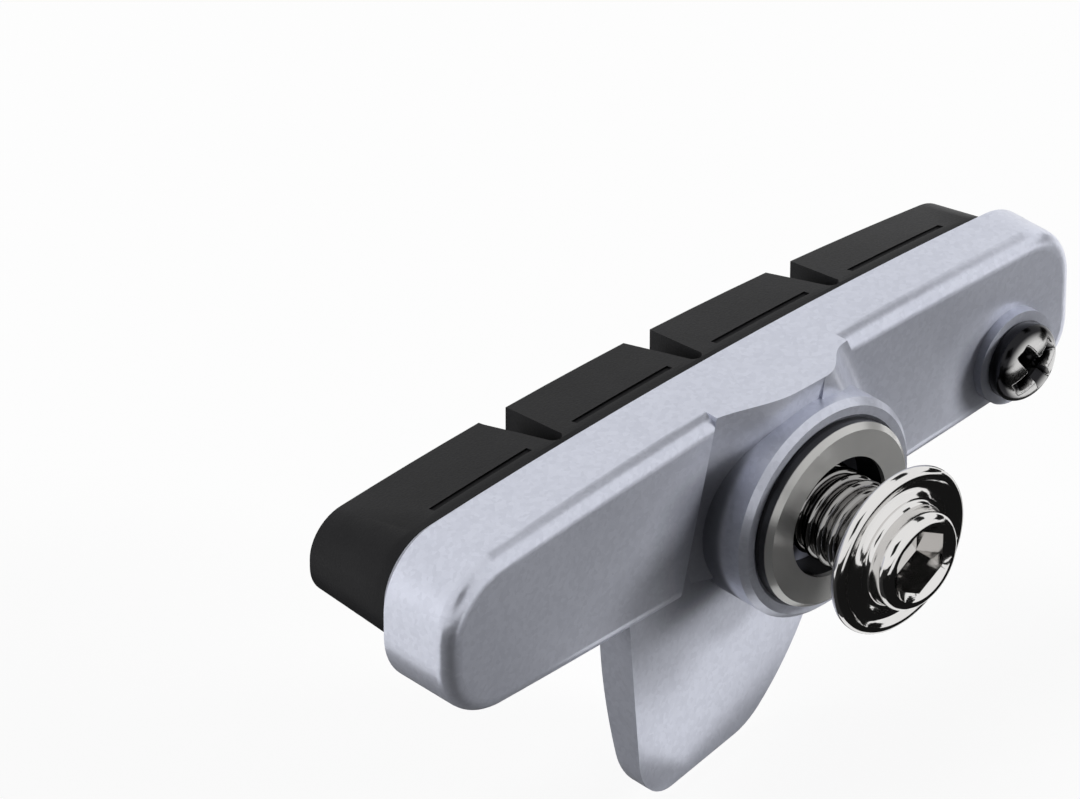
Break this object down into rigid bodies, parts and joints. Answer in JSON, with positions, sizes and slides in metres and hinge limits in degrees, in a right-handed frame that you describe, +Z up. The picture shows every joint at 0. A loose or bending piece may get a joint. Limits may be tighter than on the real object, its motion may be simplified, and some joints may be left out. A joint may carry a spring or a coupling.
{
  "type": "bicycle rim brake shoe",
  "caption": "Road bicycle rim brake shoe: a cast holder with a wheel guide, a grooved rubber pad slid into its channel, a locking screw, and a fixing bolt with a spherical toe-in washer.",
  "frame": {"origin": "on the fixing bolt's axis, in the washer's flat face that meets the brake arm", "axes": "+X along the shoe to its open end with the locking screw, +Y along the bolt towards the rim, +Z up on the bicycle, away from the wheel guide"},
  "size_m": [0.056, 0.0238, 0.0251],
  "materials": {
    "holder_paint": "satin silver paint on a casting",
    "pad_rubber": "matt moulded rubber",
    "bolt_chrome": "polished",
    "washer_steel": "smooth gunmetal grey",
    "screw_steel": "dark bright steel"
  },
  "bodies": {
    "arm_side": {"toe_in_washer": "washer_steel"},
    "shoe": {"shoe_holder": "holder_paint", "brake_pad": "pad_rubber", "fixing_bolt": "bolt_chrome", "locking_screw": "screw_steel"}
  },
  "joints": [
    {"name": "toe_in", "type": "hinge", "parent": "arm_side", "child": "shoe", "pos_m": [0, -0.00675, 0], "axis": [0, 0, 1], "range_deg": [-4, 4]}
  ]
}
